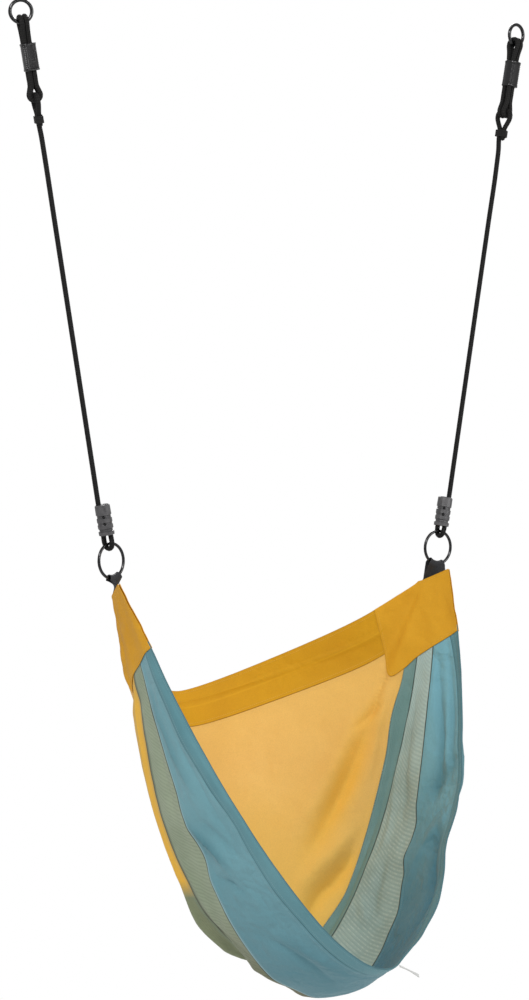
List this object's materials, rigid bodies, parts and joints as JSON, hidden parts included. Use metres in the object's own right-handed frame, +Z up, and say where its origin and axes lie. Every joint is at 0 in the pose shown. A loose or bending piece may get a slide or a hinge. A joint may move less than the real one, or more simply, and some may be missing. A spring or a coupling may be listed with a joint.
{
  "type": "nest swing",
  "caption": "Fabric nest swing: a pouch seat of yellow, mesh and blue panels hung by its two corners from long black ropes with rings.",
  "frame": {"origin": "midway between the two hanging rings, at the height of their centres", "axes": "+Z up, +X along the line of the hanging rings to the right as the open front is faced, +Y to the seat's back"},
  "size_m": [1.2659, 0.749, 1.9555],
  "materials": {
    "ring_steel": "black, half gloss",
    "rope_black": "braided, matt",
    "webbing_black": "woven, matt",
    "plastic_grey": "matt, moulded ribs",
    "plastic_black": "matt, ridged",
    "screw_steel": "blackened",
    "light_yellow_fabric": "thin plain weave, lets light through",
    "dark_yellow_fabric": "doubled plain weave",
    "blue_fabric": "plain weave",
    "tape_fabric": "woven tape",
    "mesh_fabric": "open ribbed mesh",
    "tag_white": "blank woven tag"
  },
  "bodies": {
    "hanging_rings": {"left_hanging_ring": "ring_steel", "right_hanging_ring": "ring_steel"},
    "left_rope_assembly": {"left_sling_rope": "rope_black", "left_eye_whipping": "rope_black", "left_rope": "rope_black", "left_clamp_front": "plastic_grey", "left_clamp_back": "plastic_grey", "left_clamp_screw_1": "screw_steel", "left_clamp_screw_2": "screw_steel"},
    "right_rope_assembly": {"right_sling_rope": "rope_black", "right_eye_whipping": "rope_black", "right_rope": "rope_black", "right_clamp_front": "plastic_grey", "right_clamp_back": "plastic_grey", "right_clamp_screw_1": "screw_steel", "right_clamp_screw_2": "screw_steel"},
    "left_adjuster": {"left_rope_adjuster": "plastic_black"},
    "right_adjuster": {"right_rope_adjuster": "plastic_black"},
    "left_ring": {"left_seat_ring": "ring_steel"},
    "right_ring": {"right_seat_ring": "ring_steel"},
    "seat": {"back_band": "dark_yellow_fabric", "back_panel": "light_yellow_fabric", "side_tape": "tape_fabric", "mesh_panel": "mesh_fabric", "front_panel": "blue_fabric", "front_hem": "blue_fabric", "care_label": "tag_white", "left_webbing_loop": "webbing_black", "right_webbing_loop": "webbing_black", "left_corner_cap_outer": "dark_yellow_fabric", "left_corner_cap_inner": "dark_yellow_fabric", "right_corner_cap_outer": "dark_yellow_fabric", "right_corner_cap_inner": "dark_yellow_fabric"}
  },
  "joints": [
    {"name": "left_rope_swing", "type": "hinge", "parent": "hanging_rings", "child": "left_rope_assembly", "pos_m": [-0.60491, 0, -0.02111], "axis": [1, 0, 0], "range_deg": [-30, 30]},
    {"name": "right_rope_swing", "type": "hinge", "parent": "hanging_rings", "child": "right_rope_assembly", "pos_m": [0.60491, 0, -0.02111], "axis": [1, 0, 0], "range_deg": [-30, 30]},
    {"name": "left_ring_swing", "type": "hinge", "parent": "left_rope_assembly", "child": "left_ring", "pos_m": [-0.41047, 0, -1.02462], "axis": [1, 0, 0], "range_deg": [-25, 25]},
    {"name": "right_ring_swing", "type": "hinge", "parent": "right_rope_assembly", "child": "right_ring", "pos_m": [0.41047, 0, -1.02462], "axis": [1, 0, 0], "range_deg": [-25, 25]},
    {"name": "seat_tilt", "type": "hinge", "parent": "left_ring", "child": "seat", "pos_m": [-0.39753, 0, -1.09138], "axis": [1, 0, 0], "range_deg": [-15, 15]},
    {"name": "left_adjuster_slide", "type": "slide", "parent": "left_rope_assembly", "child": "left_adjuster", "axis": [-0.1902, 0, 0.9817], "range_m": [-0.01, 0.01]},
    {"name": "right_adjuster_slide", "type": "slide", "parent": "right_rope_assembly", "child": "right_adjuster", "axis": [0.1902, 0, 0.9817], "range_m": [-0.016, 0.003]}
  ],
  "couplings": [
    {"joint": "right_rope_swing", "follows": "left_rope_swing", "ratio": 1},
    {"joint": "right_ring_swing", "follows": "left_ring_swing", "ratio": 1}
  ]
}
